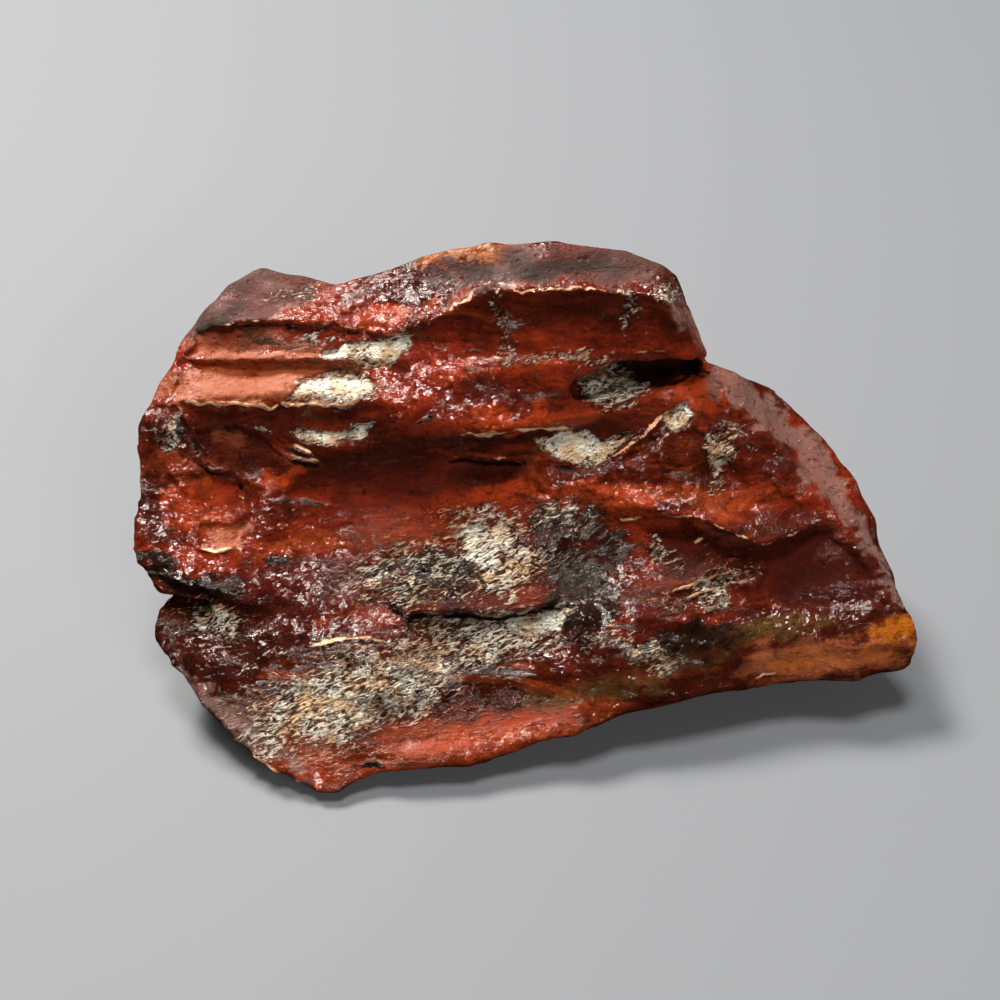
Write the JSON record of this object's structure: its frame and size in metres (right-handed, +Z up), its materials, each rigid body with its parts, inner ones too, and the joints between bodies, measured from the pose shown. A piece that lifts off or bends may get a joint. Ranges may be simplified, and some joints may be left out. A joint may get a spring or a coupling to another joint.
{
  "type": "rough jasper",
  "caption": "Rough piece of red jasper with stepped ledges, conchoidal flake scars and an open cleft, lying on one flat fracture face.",
  "frame": {"origin": "middle of the stone's box, on the flat face that it rests on", "axes": "+Z up, +X along the stone's length towards its ochre tip, the broken stepped front facing -Y"},
  "size_m": [0.0658, 0.0412, 0.0312],
  "materials": {
    "red_jasper": "glossy conchoidal fracture, brick red to maroon in bands, with orange streaks, dark grey-brown patches and an ochre tip"
  },
  "bodies": {
    "root": {"jasper_stone": "red_jasper"}
  },
  "joints": []
}
